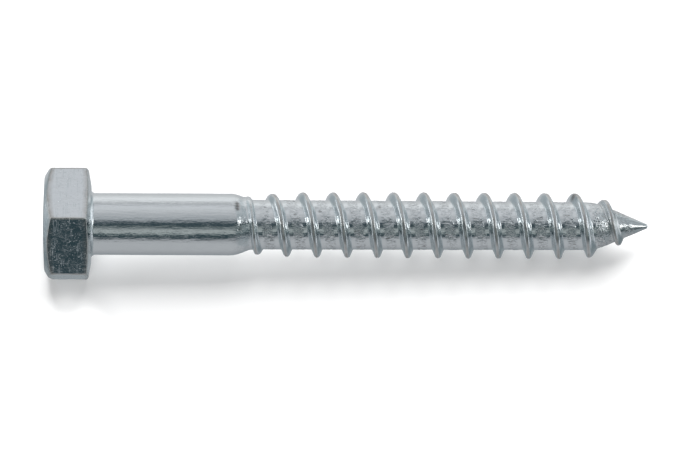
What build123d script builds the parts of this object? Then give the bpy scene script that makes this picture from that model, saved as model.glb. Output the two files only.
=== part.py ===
from build123d import *
import os
from math import radians, sin, tan

# Hexagon-head wood screw (coach screw), 8 mm x 65 mm: one piece of steel, headed, pointed and thread-rolled.
#
# Frame, in millimetres: +X runs along the axis from the head to the point, the origin is on the axis in
# the plane of the head's bearing face, and +Z is up, square to two of the head's six flats.
# A station is a distance along +X from the bearing face. A radius is measured from the axis.

# ---- driving dimensions ----
length_under_head = 65.8  # bearing face to the rounded tip

head_across_flats = 12.62
head_height = 5.65
crown_circle_radius = 5.46  # flat disc that the crown chamfer leaves on the end of the head
crown_chamfer_angle = 29.0  # degrees from the end face
bearing_circle_radius = 5.3  # outside of the flat ring that clamps the work
bearing_relief_angle = 17.0  # degrees from the bearing face, outside that ring
head_envelope_radius = 9.0  # anywhere outside the hexagon's corners

shank_radius = 3.65
shank_root_fillet = 0.45  # between the shank and the bearing face
core_radius = 2.84  # root of the thread
neck_start = 17.36  # station of the sharp corner where the shank starts to taper
neck_end = 18.76  # station of the sharp corner where that taper meets the core
neck_start_blend = 3.6  # radii that round those two corners
neck_end_blend = 1.0

point_half_angle = 22.8  # degrees from the axis
point_blend = 6.9  # radius that rounds the corner between core and point
tip_radius = 0.26

thread_pitch = 3.576  # right-hand
thread_radius = 3.9  # full crest
thread_crest_width = 0.44
thread_flank_head_side = 26.0  # degrees from square to the axis
thread_flank_point_side = 24.0
thread_start = 14.788  # station where the thread's centre line leaves the top of the shank's inside
thread_start_radius = 3.3  # its crest there, still inside the shank
thread_bite = 0.24  # depth of the thread's foot inside the core, which joins the two
run_in_turns = 3  # the crest rises to its full radius over these
full_turns = 9
cone_turns = 1  # the crest comes down the point over these
cone_turns_slope = 16.0  # degrees from the axis
fade_turns = 0.75  # and sinks into the point over these
fade_turns_slope = 34.5
fade_foot_depth = 0.95  # crest to foot of the fading thread, short of the axis

# ---- values that follow from them ----
sharp_apex = length_under_head + tip_radius * (1 / sin(radians(point_half_angle)) - 1)
cone_start = sharp_apex - core_radius / tan(radians(point_half_angle))
tip_centre = sharp_apex - tip_radius / sin(radians(point_half_angle))
crown_run = (head_envelope_radius - crown_circle_radius) * tan(radians(crown_chamfer_angle))
relief_run = (head_envelope_radius - bearing_circle_radius) * tan(radians(bearing_relief_angle))

foot_radius = core_radius - thread_bite
full_start = thread_start + run_in_turns * thread_pitch
cone_turns_start = full_start + full_turns * thread_pitch
fade_start = cone_turns_start + cone_turns * thread_pitch
fade_radius = thread_radius - cone_turns * thread_pitch * tan(radians(cone_turns_slope))


def thread_section(station, crest, foot):
    """Cut face of the thread above the axis: a V with a narrow flat crest."""
    half_crest = thread_crest_width / 2
    head_side = half_crest + (crest - foot) * tan(radians(thread_flank_head_side))
    point_side = half_crest + (crest - foot) * tan(radians(thread_flank_point_side))
    with BuildSketch(Plane.XZ) as section:
        with BuildLine():
            Polyline(
                (station - head_side, foot),
                (station - half_crest, crest),
                (station + half_crest, crest),
                (station + point_side, foot),
                close=True,
            )
        make_face()
    return section.sketch


def thread_turns(station, turns, crest, foot, end_crest=None, slope=0.0):
    """Turns of thread from a station on; they taper to end_crest, or come down at a slope."""
    length = turns * thread_pitch
    sections = [thread_section(station, crest, foot)]
    if end_crest is not None:
        sections.append(thread_section(station + length, end_crest, foot))
    with BuildPart() as ridge:
        with BuildLine() as path:
            Helix(thread_pitch, length, crest, center=(station, 0, 0), direction=(1, 0, 0), cone_angle=-slope)
        sweep(sections=sections, path=path.line, multisection=end_crest is not None, is_frenet=True)
    return ridge.part


# Head: a length of hexagon, crowned on its outer end and relieved around the bearing ring.
with BuildPart() as head:
    with BuildSketch(Plane.YZ):
        RegularPolygon(head_across_flats / 2, side_count=6, major_radius=False)
    extrude(amount=-head_height)
    with BuildSketch(Plane.XY):
        with BuildLine():
            Polyline(
                (-head_height, 0),
                (-head_height, crown_circle_radius),
                (crown_run - head_height, head_envelope_radius),
                (-relief_run, head_envelope_radius),
                (0, bearing_circle_radius),
                (0, 0),
                close=True,
            )
        make_face()
    revolve(axis=Axis.X, mode=Mode.INTERSECT)

# Stem: shank, neck, core and point, one turned outline that starts inside the head.
stem_start = (-head_height / 2, shank_radius)
tip_tangent = (
    tip_centre + tip_radius * sin(radians(point_half_angle)),
    (sharp_apex - tip_centre - tip_radius * sin(radians(point_half_angle))) * tan(radians(point_half_angle)),
)
with BuildPart() as stem:
    with BuildSketch(Plane.XY):
        with BuildLine():
            outline = FilletPolyline(
                stem_start,
                (neck_start, shank_radius),
                (neck_end, core_radius),
                (cone_start, core_radius),
                tip_tangent,
                radius=(neck_start_blend, neck_end_blend, point_blend),
            )
            TangentArc(outline @ 1, (length_under_head, 0), tangent=outline % 1)
            Polyline((length_under_head, 0), (-head_height / 2, 0), stem_start)
        make_face()
    revolve(axis=Axis.X)

# The screw: head and stem with a filleted root between them, and the thread rolled onto the stem.
with BuildPart() as wood_screw:
    add(head.part)
    add(stem.part)
    seat_circles = wood_screw.edges().filter_by(GeomType.CIRCLE).filter_by_position(Axis.X, 0, 0)
    fillet(seat_circles.sort_by(SortBy.RADIUS)[0], radius=shank_root_fillet)
    add(thread_turns(thread_start, run_in_turns, thread_start_radius, foot_radius, thread_radius))
    add(thread_turns(full_start, full_turns, thread_radius, foot_radius))
    add(thread_turns(cone_turns_start, cone_turns, thread_radius, foot_radius, slope=cone_turns_slope))
    add(
        thread_turns(
            fade_start, fade_turns, fade_radius, fade_radius - fade_foot_depth, slope=fade_turns_slope
        )
    )
wood_screw.part.label = "wood_screw"

os.makedirs("parts", exist_ok=True)
export_step(wood_screw.part, "parts/wood_screw.step")
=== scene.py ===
from math import atan, cos, pi, radians, sin, tan

import bpy
import numpy as np
from mathutils import Matrix, Vector


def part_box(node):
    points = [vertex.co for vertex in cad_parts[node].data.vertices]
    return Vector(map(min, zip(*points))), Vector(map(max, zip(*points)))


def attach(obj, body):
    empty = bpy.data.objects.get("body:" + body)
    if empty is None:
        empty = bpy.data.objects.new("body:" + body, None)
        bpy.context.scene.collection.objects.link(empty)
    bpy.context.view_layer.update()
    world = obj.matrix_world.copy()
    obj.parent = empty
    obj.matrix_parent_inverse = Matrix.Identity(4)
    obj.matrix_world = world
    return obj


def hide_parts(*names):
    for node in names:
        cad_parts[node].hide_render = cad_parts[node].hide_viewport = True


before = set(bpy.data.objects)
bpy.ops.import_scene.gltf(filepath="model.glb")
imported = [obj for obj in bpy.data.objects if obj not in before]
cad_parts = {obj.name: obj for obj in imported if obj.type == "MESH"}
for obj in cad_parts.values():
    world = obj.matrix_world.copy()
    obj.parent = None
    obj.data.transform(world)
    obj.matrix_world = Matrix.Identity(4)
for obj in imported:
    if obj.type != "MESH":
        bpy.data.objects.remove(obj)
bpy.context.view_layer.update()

# Sizes are in millimetres, in the frame's axes, until a mesh or a light is made.
# A station is a distance along +X from the bearing face. An angle turns about +X, from +Y towards +Z.
# A pair of stations tells where something comes in or goes out, and two pairs tell both.
MM = 0.001
node_low, node_high = [np.array(corner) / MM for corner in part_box("wood_screw")]

# ---- head and stem ----
head_height = -node_low[0]
head_flat = -node_low[2]  # axis to flat
tip_station = node_high[0]
crown_profile = [(2.4, 0.0), (5.6, 0.15), (6.32, 0.60), (7.4, 1.08)]  # radius, depth from the head's end
head_bends = (8.0, 0.6, 0.12, 0.12, 1.6)  # radii of the head's outline, from its end to the bearing face
bearing_circle = 4.6
relief_angle = radians(10.2)
corner_round = 0.2
edge_width = 0.2  # of the worn line along the head's edges
shank_radius = 3.65
core_radius_neck, core_radius = 2.93, 2.82  # the core narrows a little towards the point
root_fillet = 0.45
neck_start, neck_end = 17.02, 18.80
neck_bends, cone_bend = (2.6, 1.0), 6.9  # radii of the stem's outline
point_angle = radians(22.8)
tip_round = 0.34

# ---- thread ----
pitch = 3.576
crest_phase = 24.92  # station of the crest at crest_phase_angle
crest_phase_angle = radians(35)
crest_radius = 3.88
crest_outline = [  # station and radius of the crest, from where it leaves the shank to where it sinks
    (16.4, 3.0), (17.1, 3.1), (17.8, 3.32), (18.6, 3.43), (19.55, 3.57), (21.5, 3.66), (23.2, 3.76),
    (25.1, 3.83), (32.0, crest_radius), (57.2, crest_radius), (58.9, 3.70), (60.6, 3.15), (62.35, 2.32),
    (63.1, 1.6), (64.0, 0.6),
]
crest_width = 0.5
crest_round = 0.3
crest_core = 0.12  # half the width of the crest that keeps its shape where the ridge spreads
flank_angle = radians(21.5)  # from square to the axis
foot_blend = 0.16
foot_blend_in = (16.0, 17.0)
ridge_shown = (16.4, 17.4), (63.8, 64.6)
thread_sway = 0.237  # the thread lies this much nearer the point on one side, and the head on the other
sway_angle = radians(118)
sway_shown = (18.5, 22.0), (58.5, 62.0)
crest_wear = (0.3, 0.6), (0.08, 0.22)  # height over the core, and distance from the crest's middle
valley_middle = (0.44, 0.74)  # distance from the middle between two crests
run_in_shift, run_in = 0.65, ((15.6, 17.2), (17.8, 19.8))  # how much nearer the point the thread lies there
run_out_shift, run_out = -0.05, ((58.0, 60.5), (62.8, 64.6))
head_side_widths = [  # station, and how many times wider the head's side of the ridge is there
    (16.4, 1.8), (19.5, 1.7), (21.5, 1.15), (24.0, 1.0), (58.5, 1.0), (60.7, 1.25), (62.4, 0.8),
]
point_side_widths = [
    (16.4, 1.8), (19.5, 1.6), (21.5, 1.15), (24.0, 1.0), (57.5, 1.0), (58.9, 1.6), (60.7, 1.25), (62.4, 0.8),
]

# ---- marks of making and use ----
nicks = [  # station, radius and degrees of each dent, then its width, depth and darkness
    (56.75, 3.75, 46, 0.62, 0.16, 1.4),
    (57.15, 3.85, 62, 0.30, 0.08, 0.6),
    (17.20, 3.60, 81, 0.25, 0.05, 1.1),
    (17.22, 3.60, 87, 0.25, 0.05, 1.3),
    (17.24, 3.60, 93, 0.25, 0.05, 1.3),
    (17.50, 3.45, 114, 0.26, 0.05, 0.0),
    (17.50, 3.45, 121, 0.26, 0.05, 0.0),
    (18.75, 3.05, 117, 0.95, -0.12, 0.0),
    (17.50, 3.50, 133, 0.30, 0.06, 0.5),
    (26.9, 2.88, 92, 0.16, 0.05, 0.8),
    (34.0, 2.86, 78, 0.18, 0.05, 0.8),
    (35.1, 2.86, 131, 0.16, -0.05, 0.0),
]
stamped_relief = 0.022, (3.0, 4.4, 4.4), 1  # depth, cells of noise per mm along each axis, and seed
pebbled_relief = 0.02, (5.0, 5.0, 5.0), 2
drawn_relief = 0.010, (0.45, 1.1, 1.1), 3
crest_relief = 0.05, (1.3, 1.3, 1.3), 4
neck_relief = 0.05, (1.9, 1.3, 1.3), 5
stamp_sharpness = 2.5
drawn_from = (1.0, 3.0)
neck_rough = (16.4, 17.4), (18.6, 20.0)
cone_rough = (58.5, 60.5), (61.4, 62.8)
cone_wear_from, bright_tip_from = (58.5, 61.5), (61.8, 62.8)
stem_from, valley_from = (0.2, 0.6), (19.5, 20.5)

# ---- grid ----
sector_columns = 26
columns = 6 * sector_columns
corner_crowding = 0.82
first_angle = radians(300)  # the helical rows' seam lies on the underside, at the back
first_ring = 0.3  # its radius
head_steps = (4, 4, 2, 8, 2, 1, 10)  # rings along each straight of the head's outline
plain_end = 14.0  # station of the last plain ring
columns_evened = (1.0, 12.0)
cap_rings = 5
row_groups = [(0.0, 3), (0.2, 6), (0.75, 17), (2.83, 6), (3.38, 3)]  # distance past a crest, rows from there
threaded_turns, turns_before_phase = 13, 3
last_threaded_row = 62.6
wide_gap, tail_gap, finest_gap, cap_gap = 0.1, 0.105, 0.004, 0.02  # between rows, off the thread
even_lead_rows, narrowing_lead_rows, tail_rows = 14, 34, 72


def lattice_noise(points, seed):
    """Smooth noise from -1 to 1 at points given in cells, one random value at each lattice corner."""
    size = 32
    values = np.random.RandomState(seed).uniform(-1, 1, (size, size, size))
    base = np.floor(points).astype(int)
    part = points - base
    ease = part * part * (3 - 2 * part)
    total = np.zeros(len(points))
    for dx in (0, 1):
        for dy in (0, 1):
            for dz in (0, 1):
                corner = values[tuple((base + (dx, dy, dz)).T % size)]
                weight = np.ones(len(points))
                for axis, step in enumerate((dx, dy, dz)):
                    weight = weight * (ease[:, axis] if step else 1 - ease[:, axis])
                total += corner * weight
    return total


def smooth_step(value, low, high):
    """0 up to low, and 1 from high on."""
    ease = np.clip((value - low) / (high - low), 0, 1)
    return ease * ease * (3 - 2 * ease)


def fade(value, low, high):
    """1 up to low, and 0 from high on."""
    return smooth_step(-value, -high, -low)


def window(value, rise, fall):
    return smooth_step(value, *rise) * fade(value, *fall)


def smooth_max(a, b, width):
    share = np.clip(0.5 + 0.5 * (a - b) / width, 0, 1)
    return b + (a - b) * share + width * share * (1 - share)


def rounded_path(corners, radii, arc_steps, straight_steps=None):
    """Points along a polyline whose inner corners are arcs, each straight divided into so many steps."""
    straight_steps = straight_steps or [1] * (len(corners) - 1)
    corners = [Vector(corner) for corner in corners]
    points = [corners[0]]

    def straight_to(end, steps):
        start = points[-1]
        for step in range(1, steps + 1):
            points.append(start.lerp(end, step / steps))

    threes = zip(corners, corners[1:], corners[2:])
    for (before, corner, after), radius, steps in zip(threes, radii, straight_steps):
        back, on = (before - corner).normalized(), (after - corner).normalized()
        half = back.angle(on) / 2
        centre = corner + (back + on).normalized() * (radius / sin(half))
        start = corner + back * (radius / tan(half)) - centre
        sweep = -start.angle_signed(corner + on * (radius / tan(half)) - centre)
        straight_to(centre + start, steps)
        for step in range(1, arc_steps + 1):
            points.append(centre + Matrix.Rotation(sweep * step / arc_steps, 2) @ start)
    straight_to(corners[-1], straight_steps[-1])
    return points


def hexagon_radius(angle):
    """Axis to the side of the head's hexagon, whose corners are rounded."""
    phi = abs(angle % (pi / 3) - pi / 6)
    if phi <= atan((head_flat - corner_round) * tan(pi / 6) / head_flat):
        return head_flat / cos(phi)
    psi = pi / 6 - phi
    reach = (head_flat - corner_round) / cos(pi / 6)
    return reach * cos(psi) + (corner_round**2 - (reach * sin(psi)) ** 2) ** 0.5


# ---- outlines of the stem and of the ridge ----
sharp_apex = tip_station + tip_round * (1 / sin(point_angle) - 1)
cone_start = sharp_apex - core_radius / tan(point_angle)
tip_centre = sharp_apex - tip_round / sin(point_angle)
cap_start = tip_centre + tip_round * sin(point_angle)
stem_outline = rounded_path(
    [
        (0, shank_radius),
        (neck_start, shank_radius),
        (neck_end, core_radius_neck),
        (cone_start, core_radius),
        (cap_start, tip_round * cos(point_angle)),
    ],
    (*neck_bends, cone_bend),
    12,
)
stem_stations, stem_radii = [p.x for p in stem_outline], [p.y for p in stem_outline]

ridge_reach = 1.2  # past the ridge's foot
ridge_foot = (ridge_reach - crest_width / 2) / tan(flank_angle)
ridge_outline = rounded_path(
    [(-ridge_reach, -ridge_foot), (-crest_width / 2, 0), (crest_width / 2, 0), (ridge_reach, -ridge_foot)],
    (crest_round, crest_round),
    8,
)
ridge_offsets, ridge_drops = [p.x for p in ridge_outline], [p.y for p in ridge_outline]
ridge_top = max(ridge_drops)


def thread_shift(station, angle):
    """How far along the axis the real thread lies from an even helix."""
    sway = thread_sway * np.cos(angle - sway_angle) * window(station, *sway_shown)
    return sway + run_in_shift * window(station, *run_in) + run_out_shift * window(station, *run_out)


def stem_surface(station, place, angle):
    """Radius of the stem, thread included, with masks of the crest and of the valley between two turns.

    The thread is worked out at its station on an even helix, and the core at the place where that lies."""
    core = np.interp(place, stem_stations, stem_radii)
    turns = (station - crest_phase) / pitch - (angle - crest_phase_angle) / (2 * pi)
    off = (turns - np.round(turns)) * pitch
    crest = np.interp(station - off, *zip(*crest_outline))
    widths = np.where(
        off < 0,
        np.interp(station - off, *zip(*head_side_widths)),
        np.interp(station - off, *zip(*point_side_widths)),
    )
    spread = np.abs(off) - crest_core
    reach = np.where(spread < 0, np.abs(off), crest_core + spread / widths)
    ridge = crest + np.interp(reach, ridge_offsets, ridge_drops) - ridge_top
    ridge = ridge * window(station, *ridge_shown)
    radius = smooth_max(ridge, core, foot_blend * smooth_step(station, *foot_blend_in) + 1e-6)
    on_crest = smooth_step(ridge - core, *crest_wear[0]) * fade(np.abs(off), *crest_wear[1])
    from_middle = np.abs(off % pitch - pitch / 2)
    in_valley = fade(from_middle, *valley_middle) * smooth_step(station, *valley_from)
    return radius, on_crest, in_valley


# Rows follow the thread. One turn moves a row on by rows_per_pitch places, so a crest stays on its row.
group_ends = [start for start, _ in row_groups[1:]] + [pitch]
pitch_offsets = np.concatenate([
    np.linspace(start, end, rows, endpoint=False) for (start, rows), end in zip(row_groups, group_ends)
])
rows_per_pitch = len(pitch_offsets)
first_crest = crest_phase + pitch * ((first_angle - crest_phase_angle) / (2 * pi) - turns_before_phase)
threaded = np.concatenate([first_crest + pitch * turn + pitch_offsets for turn in range(threaded_turns)])
threaded = threaded[threaded < last_threaded_row]
lead_gaps = np.concatenate([
    np.full(even_lead_rows, wide_gap), np.geomspace(wide_gap, finest_gap, narrowing_lead_rows)
])
lead_in = first_crest - np.cumsum(lead_gaps)[::-1]
tail_gaps = np.geomspace(tail_gap, finest_gap, tail_rows)
tail_gaps *= (cap_start - cap_gap - threaded[-1]) / tail_gaps.sum()
row_stations = np.concatenate([lead_in, threaded, threaded[-1] + np.cumsum(tail_gaps)])
helical_rows = len(row_stations) - rows_per_pitch


def column_angles(crowding):
    """The columns' angles: crowding from 0, evenly spaced, towards 1, closer together at the six corners."""
    share = np.arange(sector_columns) / sector_columns
    eased = share - crowding / (2 * pi) * np.sin(2 * pi * share)
    return np.concatenate([first_angle + pi / 3 * (sector + eased) for sector in range(6)])


def head_rings():
    """Stations, radii, angles and wear of the rings between the head's end and the helical rows."""
    angles, even = column_angles(corner_crowding), column_angles(0.0)
    rings, edge_gaps, far = [], [], 9.0
    for angle in angles:
        side = hexagon_radius(angle)
        crown = float(np.interp(side, *zip(*crown_profile))) - head_height
        relief_start = -(side - bearing_circle) * tan(relief_angle)
        middle, shoulder = [(depth - head_height, radius) for radius, depth in crown_profile[:2]]
        corners = [
            (-head_height, first_ring),
            middle,
            shoulder,
            (crown, side),
            (relief_start, side),
            (0, bearing_circle),
            (0, shank_radius),
            (plain_end, shank_radius),
        ]
        path = rounded_path(corners, (*head_bends, root_fillet), 4, head_steps)
        rings.append([(p.x, p.y) for p in path])
        from_corner = abs(abs(angle % (pi / 3) - pi / 6) - pi / 6) * side
        for p in path:
            on_flat = crown < p.x < relief_start
            gap = min(abs(p.x - crown), abs(p.x - relief_start), from_corner if on_flat else far)
            edge_gaps.append(gap if p.y > side - edge_width else far)
    stations, radii = np.array(rings).transpose(2, 1, 0)
    wear = fade(np.array(edge_gaps).reshape(columns, -1).T, edge_width / 3, edge_width)
    return stations, radii, angles + (even - angles) * smooth_step(stations, *columns_evened), wear


def screw_grid():
    """Each point's station, radius and angle, its wear, crest and valley masks, and the number of rings."""
    rings_x, rings_r, rings_a, rings_worn = head_rings()
    even = column_angles(0.0)
    row, column = np.meshgrid(np.arange(helical_rows), np.arange(columns), indexing="ij")
    row_place = row + rows_per_pitch * (even[column] - first_angle) / (2 * pi)
    helix_x = np.interp(row_place, np.arange(len(row_stations)), row_stations)
    helix_a = even[column]
    shifted_x = helix_x + thread_shift(helix_x, helix_a)
    helix_r, crest, valley = stem_surface(helix_x, shifted_x, helix_a)
    cap_turns = np.linspace(pi / 2 - point_angle, 0, cap_rings + 1)[:-1]
    cap_x = np.repeat((tip_centre + tip_round * np.cos(cap_turns))[:, None], columns, 1)
    cap_r = np.repeat((tip_round * np.sin(cap_turns))[:, None], columns, 1)
    cap_a = np.repeat(even[None, :], cap_rings, 0)
    no_rings, no_cap = np.zeros_like(rings_x), np.zeros_like(cap_x)
    layers = (
        (rings_x, shifted_x, cap_x),
        (rings_r, helix_r, cap_r),
        (rings_a, helix_a, cap_a),
        (rings_worn, crest, no_cap),
        (no_rings, crest, no_cap),
        (no_rings, valley, no_cap),
    )
    return *(np.concatenate(layer).ravel() for layer in layers), len(rings_x)


def relief(points, depth, cells, seed, sharpness=None):
    noise = lattice_noise(points * cells, seed)
    return depth * (np.tanh(sharpness * noise) if sharpness else noise)


def surface_shift(points, crest, valley):
    """How far each point lies outside the smooth surface, and how dark the dents make it."""
    x = points[:, 0]
    rolled = relief(points, *stamped_relief, stamp_sharpness) + relief(points, *pebbled_relief)
    shift = rolled * (valley + 0.4 * window(x, *cone_rough))
    shift += window(x, *neck_rough) * relief(points, *neck_relief)
    bruised = np.zeros(len(points))
    for station, radius, degrees, width, depth, darkness in nicks:
        centre = (station, radius * cos(radians(degrees)), radius * sin(radians(degrees)))
        nearness = np.exp(-((np.linalg.norm(points - centre, axis=1) / width) ** 2))
        shift -= depth * nearness
        bruised = np.maximum(bruised, np.minimum(darkness * nearness, 1))
    shift += relief(points, *drawn_relief) * smooth_step(x, *drawn_from)
    shift += crest * relief(points, *crest_relief)
    return shift, bruised


def screw_faces(ring_count):
    """Faces of the plain rings, the helical rows and the tip's cap, whose vertices follow one another."""
    helix_first = ring_count * columns
    cap_first = helix_first + helical_rows * columns
    head_centre = cap_first + cap_rings * columns
    tip = head_centre + 1
    last_row, last_column = helical_rows - 1, columns - 1
    faces = []

    def helix(row, column):
        return helix_first + row * columns + column

    def ring_quads(first, count):
        for here in range(first, first + (count - 1) * columns, columns):
            there = here + columns
            for c in range(columns):
                n = (c + 1) % columns
                faces.append((here + c, here + n, there + n, there + c))

    ring_quads(0, ring_count)
    for c in range(columns):
        faces.append((head_centre, (c + 1) % columns, c))

    for row in range(last_row):
        for c in range(last_column):
            faces.append((helix(row, c), helix(row, c + 1), helix(row + 1, c + 1), helix(row + 1, c)))
        on = row + rows_per_pitch
        if on < last_row:
            faces.append(
                (helix(row, last_column), helix(on, 0), helix(on + 1, 0), helix(row + 1, last_column))
            )

    # The wedges between the last plain ring and the first helical row, and between the last row and the cap.
    last_ring = helix_first - columns
    for c in range(last_column):
        faces.append((last_ring + c, last_ring + c + 1, helix(0, c + 1), helix(0, c)))
        faces.append((helix(last_row, c), helix(last_row, c + 1), cap_first + c + 1, cap_first + c))
    corner = helix(0, last_column)
    faces.append((last_ring + last_column, last_ring, helix(0, 0), corner))
    for row in range(rows_per_pitch):
        faces.append((corner, helix(row, 0), helix(row + 1, 0)))
    corner = helix(last_row, 0)
    faces.append((helix(last_row, last_column), corner, cap_first, cap_first + last_column))
    for row in range(last_row - rows_per_pitch, last_row):
        faces.append((helix(row, last_column), corner, helix(row + 1, last_column)))

    ring_quads(cap_first, cap_rings)
    last_cap = head_centre - columns
    for c in range(columns):
        faces.append((last_cap + c, last_cap + (c + 1) % columns, tip))
    return faces


def place_object(name, data):
    placed = bpy.data.objects.new(name, data)
    bpy.context.scene.collection.objects.link(placed)
    return placed


def build_screw():
    x, r, a, worn, crest, valley, ring_count = screw_grid()
    outward = np.stack([np.zeros_like(a), np.cos(a), np.sin(a)], 1)
    points = np.stack([x, r * np.cos(a), r * np.sin(a)], 1)
    shift, bruised = surface_shift(points, crest, valley)
    points = np.concatenate([points + outward * shift[:, None], [(-head_height, 0, 0), (tip_station, 0, 0)]])

    mesh = bpy.data.meshes.new("wood_screw_surface")
    mesh.from_pydata([tuple(MM * value for value in point) for point in points], [], screw_faces(ring_count))
    mesh.validate()
    mesh.shade_smooth()
    rolled_ends = np.maximum(0.6 * window(x, *cone_rough), 0.35 * window(x, *neck_rough))
    masks = {  # how much of each look a point has
        "worn": np.maximum(worn, 0.35 * smooth_step(x, *cone_wear_from)),
        "valley": np.maximum(valley, rolled_ends),
        "stem": smooth_step(x, *stem_from),
        "bruised": bruised,
        "smooth": smooth_step(x, *bright_tip_from),
    }
    for name, mask in masks.items():
        layer = mesh.attributes.new(name, "FLOAT", "POINT")
        layer.data.foreach_set("value", np.concatenate([mask, [0, 0]]).astype(np.float32))
    return place_object("wood_screw_body", mesh)


class Nodes:
    """Short ways to make and join the nodes of a material or of the world."""

    def __init__(self, tree):
        self.tree = tree

    def add(self, kind, **values):
        node = self.tree.nodes.new("ShaderNode" + kind)
        for name, value in values.items():
            setattr(node, name, value)
        return node

    def join(self, output, socket):
        self.tree.links.new(output, socket)

    def feed(self, socket, value):
        if isinstance(value, bpy.types.NodeSocket):
            self.join(value, socket)
        else:
            socket.default_value = value

    def math(self, operation, *values):
        node = self.add("Math", operation=operation)
        for socket, value in zip(node.inputs, values):
            self.feed(socket, value)
        return node.outputs[0]

    def product(self, first, *others):
        for other in others:
            first = self.math("MULTIPLY", first, other)
        return first

    def mask(self, name):
        return self.add("Attribute", attribute_name=name).outputs["Fac"]

    def noise(self, coordinates, per_mm, detail=1.0, roughness=0.5, turn=(0, 0, 0)):
        """Noise with so many cells per mm along each axis, its axes turned by so many degrees."""
        mapping = self.add("Mapping")
        self.join(coordinates, mapping.inputs["Vector"])
        mapping.inputs["Rotation"].default_value = [radians(value) for value in turn]
        mapping.inputs["Scale"].default_value = [value / MM for value in per_mm]
        node = self.add("TexNoise")
        self.join(mapping.outputs[0], node.inputs["Vector"])
        node.inputs["Scale"].default_value = 1.0
        node.inputs["Detail"].default_value = detail
        node.inputs["Roughness"].default_value = roughness
        return node.outputs["Fac"]

    def map_range(self, value, from_min, from_max, to_min=0.0, to_max=1.0, interpolation="SMOOTHSTEP"):
        node = self.add("MapRange", interpolation_type=interpolation)
        self.join(value, node.inputs["Value"])
        ends = {"From Min": from_min, "From Max": from_max, "To Min": to_min, "To Max": to_max}
        for name, number in ends.items():
            node.inputs[name].default_value = number
        return node.outputs[0]

    def mix(self, factor, first, second, blend="MIX"):
        node = self.add("Mix", data_type="RGBA", blend_type=blend)
        for socket, value in zip((node.inputs[0], node.inputs[6], node.inputs[7]), (factor, first, second)):
            self.feed(socket, value)
        return node.outputs[2]

    def ramp(self, value, stops):
        node = self.add("ValToRGB")
        self.join(value, node.inputs[0])
        elements = node.color_ramp.elements
        for position, color in stops[1:-1]:
            elements.new(position).color = (*color, 1)
        for element, (position, color) in ((elements[0], stops[0]), (elements[-1], stops[-1])):
            element.position, element.color = position, (*color, 1)
        return node.outputs[0]


# ---- colours of the plating, from a smooth place to a dent ----
zinc, bright_zinc = (0.69, 0.725, 0.735, 1), (0.74, 0.775, 0.785, 1)
stamped_zinc = (0.42, 0.44, 0.45, 1)
worn_zinc = (0.44, 0.425, 0.395, 1)
dark_mark = (0.24, 0.235, 0.225, 1)
bump_depth = 0.016


def zinc_material():
    """Bright zinc plating: grain, drawing streaks, stamped valleys, scratches, pits and warm worn edges."""
    material = bpy.data.materials.new("bright_zinc_plating")
    material.use_nodes = True
    shader = material.node_tree.nodes["Principled BSDF"]
    n = Nodes(material.node_tree)
    where = n.add("TexCoord").outputs["Object"]
    worn, valley, stem, bruised, smooth = [
        n.mask(name) for name in ("worn", "valley", "stem", "bruised", "smooth")
    ]
    on_head = n.math("SUBTRACT", 1.0, stem)

    streaks = n.noise(where, (0.45, 4.0, 4.0), 3.0, 0.6)
    grain = n.noise(where, (3.4, 3.8, 3.8), 3.0, 0.65)
    blotches = n.noise(where, (0.8, 1.2, 1.2), 2.0)
    stamping = n.noise(where, (3.0, 5.0, 5.0), 2.0, 0.6)
    speck_patches = n.map_range(n.noise(where, (0.55, 0.5, 0.5)), 0.42, 0.58, 0.35, 1.15)
    specks = n.product(n.map_range(n.noise(where, (4.2, 4.6, 4.6)), 0.63, 0.72), speck_patches)
    scratches = n.map_range(n.noise(where, (9.0, 0.4, 0.4), turn=(0, 12, 14)), 0.64, 0.72)
    dashes = n.map_range(n.noise(where, (1.1, 6.0, 6.0)), 0.64, 0.70)
    tiles = n.map_range(n.noise(where, (3.2, 5.0, 5.0)), 0.38, 0.60, 0.32, 0.0)

    height = n.product(grain, n.map_range(blotches, 0.35, 0.65, 0.6, 1.3))
    layers = [  # pattern, where it shows, and its height against the grain's
        (streaks, stem, 1.5),
        (stamping, valley, 4.5),
        (dashes, valley, -1.0),
        (specks, on_head, -0.8),
        (scratches, on_head, -0.7),
    ]
    for pattern, place, strength in layers:
        height = n.math("ADD", height, n.product(pattern, place, strength))
    bump = n.add("Bump")
    bump.inputs["Strength"].default_value = 1.0
    bump.inputs["Distance"].default_value = bump_depth * MM
    n.join(n.product(height, n.map_range(smooth, 0.0, 1.0, 1.0, 0.3)), bump.inputs["Height"])
    n.join(bump.outputs[0], shader.inputs["Normal"])

    plating = n.mix(blotches, zinc, bright_zinc)
    plating = n.mix(n.product(tiles, valley), plating, stamped_zinc)
    plating = n.mix(n.math("MAXIMUM", n.product(dashes, valley, 0.6), bruised), plating, dark_mark)
    wear = n.product(worn, n.map_range(blotches, 0.3, 0.65, 0.5, 0.85))
    n.join(n.mix(wear, plating, worn_zinc), shader.inputs["Base Color"])

    rough = n.map_range(blotches, 0.3, 0.7, 0.07, 0.12)
    rough = n.math("ADD", rough, n.product(worn, n.map_range(stem, 0.0, 1.0, 0.10, 0.24)))
    rough = n.math("ADD", rough, n.product(valley, 0.05))
    n.join(rough, shader.inputs["Roughness"])
    shader.inputs["Metallic"].default_value = 1.0
    return material


screw = build_screw()
screw.data.materials.append(zinc_material())
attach(screw, "root")
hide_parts("wood_screw")

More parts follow.
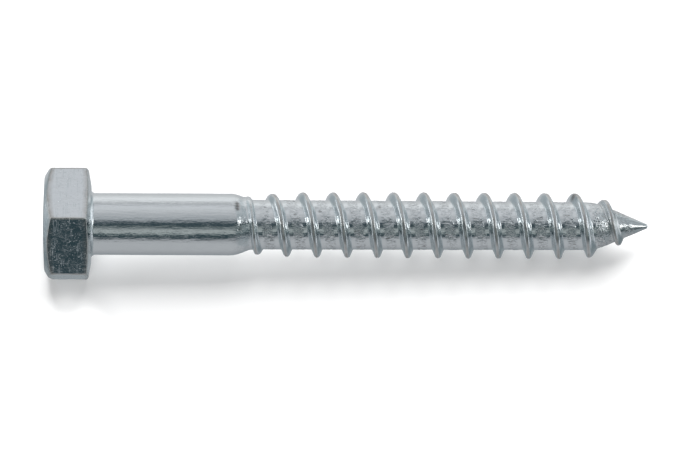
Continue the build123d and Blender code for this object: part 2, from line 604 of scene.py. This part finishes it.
# ---- floor: it touches the head's lower flat and the last full crest ----
rest_length = 58.0  # between the two
rest_tilt = atan((head_flat - crest_radius) / rest_length)
floor_left, floor_right, floor_half = -160, 220, 160  # small, so that a low view sees the white beyond it
floor_corners = [
    (floor_left, -floor_half, 0),
    (floor_right, -floor_half, 0),
    (floor_right, floor_half, 0),
    (floor_left, floor_half, 0),
]
floor_mesh = bpy.data.meshes.new("floor")
floor_mesh.from_pydata([Vector(corner) * MM for corner in floor_corners], [], [(0, 1, 2, 3)])
floor = place_object("floor", floor_mesh)
floor.location = (0, 0, -head_flat * MM)
floor.rotation_euler = (0, -rest_tilt, 0)
floor_material = bpy.data.materials.new("white_table")
floor_material.use_nodes = True
floor_shader = floor_material.node_tree.nodes["Principled BSDF"]
floor_shader.inputs["Base Color"].default_value = (0.9, 0.9, 0.9, 1)
floor_shader.inputs["Roughness"].default_value = 0.8
floor_shader.inputs["Specular IOR Level"].default_value = 0.0
floor_mesh.materials.append(floor_material)
floor.visible_glossy = False

# ---- the studio, as the light that comes from each angle about the screw's axis ----
studio_bands = [  # degrees from +Y towards +Z, and the colour of the light from there
    (-60, (0.31, 0.345, 0.365)),
    (-48, (0.54, 0.565, 0.59)),
    (-27, (0.61, 0.62, 0.64)),
    (-5, (0.72, 0.73, 0.74)),
    (15, (0.97, 0.98, 1.0)),
    (27, (0.90, 0.91, 0.93)),
    (40, (0.50, 0.51, 0.53)),
    (46, (0.54, 0.55, 0.57)),
    (54, (0.72, 0.73, 0.77)),
    (63, (0.74, 0.755, 0.78)),
    (85, (0.555, 0.565, 0.59)),
    (104, (0.44, 0.465, 0.49)),
    (114, (0.25, 0.27, 0.29)),
    (121, (0.045, 0.07, 0.085)),
    (131, (0.04, 0.065, 0.075)),
    (140, (0.20, 0.23, 0.235)),
    (150, (0.44, 0.47, 0.47)),
    (158, (0.43, 0.47, 0.47)),
    (166, (0.065, 0.095, 0.105)),
    (171, (0.032, 0.058, 0.07)),
    (177, (0.026, 0.05, 0.06)),
    (188, (0.42, 0.43, 0.45)),
    (200, (0.51, 0.52, 0.54)),
    (235, (0.50, 0.51, 0.53)),
    (262, (0.40, 0.41, 0.43)),
    (280, (0.31, 0.34, 0.36)),
    (300, (0.31, 0.345, 0.365)),
]
sideways_tints = [  # share of the direction that lies along X, and the filter on the light from there
    (0.0, (1, 1, 1)),
    (0.35, (1, 1, 1)),
    (0.62, (0.62, 0.69, 0.71)),
    (0.78, (0.72, 0.77, 0.79)),
    (0.93, (1.75, 1.78, 1.8)),
]


def studio_world():
    """The camera sees plain white. Reflections see the bands, and no other light comes from the world."""
    world = bpy.data.worlds.new("studio")
    world.use_nodes = True
    world.node_tree.nodes.clear()
    n = Nodes(world.node_tree)
    parts = n.add("SeparateXYZ")
    n.join(n.add("TexCoord").outputs["Generated"], parts.inputs[0])
    first, last = studio_bands[0][0], studio_bands[-1][0]
    angle = n.math("ARCTAN2", parts.outputs["Z"], parts.outputs["Y"])
    turned = n.math("WRAP", angle, radians(first), radians(last))
    share = n.map_range(turned, radians(first), radians(last), interpolation="LINEAR")
    bands = n.ramp(share, [((degrees - first) / (last - first), color) for degrees, color in studio_bands])
    tint = n.ramp(n.math("ABSOLUTE", parts.outputs["X"]), sideways_tints)

    seen = n.add("LightPath")
    light, backdrop, shown = n.add("Background"), n.add("Background"), n.add("MixShader")
    n.join(n.mix(1.0, bands, tint, "MULTIPLY"), light.inputs["Color"])
    n.join(seen.outputs["Is Glossy Ray"], light.inputs["Strength"])
    backdrop.inputs["Color"].default_value = (1, 1, 1, 1)
    n.join(seen.outputs["Is Camera Ray"], shown.inputs[0])
    n.join(light.outputs[0], shown.inputs[1])
    n.join(backdrop.outputs[0], shown.inputs[2])
    n.join(shown.outputs[0], n.add("OutputWorld").inputs[0])
    bpy.context.scene.world = world


def direction(side_degrees, angle_degrees):
    """Unit vector at an angle about the axis, turned by side_degrees towards +X."""
    side, angle = radians(side_degrees), radians(angle_degrees)
    return Vector((sin(side), cos(side) * cos(angle), cos(side) * sin(angle)))


def lamp(name, kind, target, toward, distance, watts, in_reflections):
    """A light that shines at its target from a distance. Its data is returned, to be given a size."""
    data = bpy.data.lights.new(name, kind)
    data.energy = watts
    light = place_object(name, data)
    light.location = (target + toward * distance) * MM
    light.rotation_euler = toward.to_track_quat("Z", "Y").to_euler()
    light.visible_glossy = in_reflections
    return data


def softbox(name, toward, distance, width, height, watts, in_reflections):
    data = lamp(name, "AREA", screw_middle, toward, distance, watts, in_reflections)
    data.shape = "RECTANGLE"
    data.size, data.size_y = width * MM, height * MM


studio_world()
screw_middle = Vector((29, 0, 0))
softbox("right_softbox", direction(48, 116), 400, 80, 230, 0.15, in_reflections=True)
softbox("left_softbox", direction(-52, 112), 400, 80, 230, 0.15, in_reflections=True)
softbox("back_key", direction(0, 47), 500, 380, 760, 5.8, in_reflections=False)
softbox("front_fill", direction(0, 150), 500, 400, 220, 2.0, in_reflections=False)

# A narrow light from the camera's side, on the floor in front of the head, where the head's shadow ends.
spot_radius, spot_distance = 5.7, 500
shadow_end = Vector((-head_height / 2, -11.7, -head_flat))
spot = lamp("floor_spot", "SPOT", shadow_end, direction(0, 125), spot_distance, 7.3, in_reflections=False)
spot.spot_blend = 1.0
spot.spot_size = 2 * atan(spot_radius / spot_distance)
spot.shadow_soft_size = 0.0

# ---- camera ----
camera_data = bpy.data.cameras.new("camera")
camera_data.lens = 300
camera_data.sensor_width = 36
camera_data.clip_start = 0.01
camera_data.clip_end = 20
camera = place_object("camera", camera_data)
picture_width = 79.77  # at the screw's axis
aim = Vector((29.08, 0, 0))
azimuth, elevation = radians(-2.45), radians(55)
screw_drop = radians(0.26)  # the screw's point lies this much lower in the picture than its head
toward_camera = Vector((sin(azimuth) * cos(elevation), -cos(azimuth) * cos(elevation), sin(elevation)))
level = (Vector((1, 0, 0)) - toward_camera * toward_camera.x).normalized()
right = Matrix.Rotation(screw_drop, 3, toward_camera) @ level
up = toward_camera.cross(right)
camera_distance = picture_width * camera_data.lens / camera_data.sensor_width
camera.location = (aim + toward_camera * camera_distance) * MM
camera.rotation_euler = Matrix((right, up, toward_camera)).transposed().to_euler()
bpy.context.scene.camera = camera

bpy.context.scene.view_settings.view_transform = "Standard"
